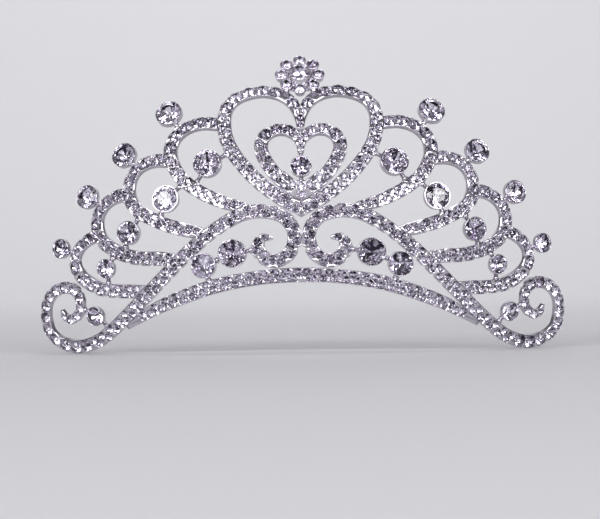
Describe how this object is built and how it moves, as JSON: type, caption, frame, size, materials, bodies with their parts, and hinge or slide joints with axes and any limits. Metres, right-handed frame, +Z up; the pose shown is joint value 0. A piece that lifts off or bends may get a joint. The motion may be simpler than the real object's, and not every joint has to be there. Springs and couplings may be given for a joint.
{
  "type": "rhinestone tiara crown",
  "caption": "Silver-tone tiara worn across the head: a stone-set heart between curled scrolls, with round stones in cups and a flower on top.",
  "frame": {"origin": "under the middle of the base band, on its back face, where the tiara rests on the head", "axes": "+X to the right as the front is seen, +Z up, and the front with the stones faces -Y"},
  "size_m": [0.1194, 0.0242, 0.0668],
  "materials": {
    "strip_metal": "bright silver-tone plating on cast strips, slightly softened by the casting",
    "cup_metal": "bright silver-tone plating on thin stamped cups and stems",
    "crystal": "clear cut crystal with a mirror foil behind its facets"
  },
  "bodies": {
    "root": {"base_band": "strip_metal", "left_scroll": "strip_metal", "right_scroll": "strip_metal", "outer_heart": "strip_metal", "inner_heart": "strip_metal", "left_loop_1": "strip_metal", "left_loop_2": "strip_metal", "left_loop_3": "strip_metal", "left_loop_4": "strip_metal", "right_loop_1": "strip_metal", "right_loop_2": "strip_metal", "right_loop_3": "strip_metal", "right_loop_4": "strip_metal", "left_outer_cup_1": "cup_metal", "left_outer_cup_2": "cup_metal", "left_outer_cup_3": "cup_metal", "left_outer_cup_4": "cup_metal", "right_outer_cup_1": "cup_metal", "right_outer_cup_2": "cup_metal", "right_outer_cup_3": "cup_metal", "right_outer_cup_4": "cup_metal", "left_inner_cup_1": "cup_metal", "left_inner_cup_2": "cup_metal", "left_inner_cup_3": "cup_metal", "left_inner_cup_4": "cup_metal", "right_inner_cup_1": "cup_metal", "right_inner_cup_2": "cup_metal", "right_inner_cup_3": "cup_metal", "right_inner_cup_4": "cup_metal", "left_middle_cup_1": "cup_metal", "left_middle_cup_2": "cup_metal", "right_middle_cup_1": "cup_metal", "right_middle_cup_2": "cup_metal", "left_end_cup": "cup_metal", "right_end_cup": "cup_metal", "heart_center_cup": "cup_metal", "flower_frame": "cup_metal", "left_pin_loop": "strip_metal", "right_pin_loop": "strip_metal", "base_band_stones": "crystal", "left_scroll_stones": "crystal", "right_scroll_stones": "crystal", "outer_heart_stones": "crystal", "inner_heart_stones": "crystal", "left_loop_stones": "crystal", "right_loop_stones": "crystal", "left_outer_cup_stones": "crystal", "left_inner_cup_stones": "crystal", "left_middle_cup_stones": "crystal", "left_end_cup_stone": "crystal", "right_outer_cup_stones": "crystal", "right_inner_cup_stones": "crystal", "right_middle_cup_stones": "crystal", "right_end_cup_stone": "crystal", "heart_center_stone": "crystal", "flower_stone": "crystal", "petal_stones": "crystal"}
  },
  "joints": []
}
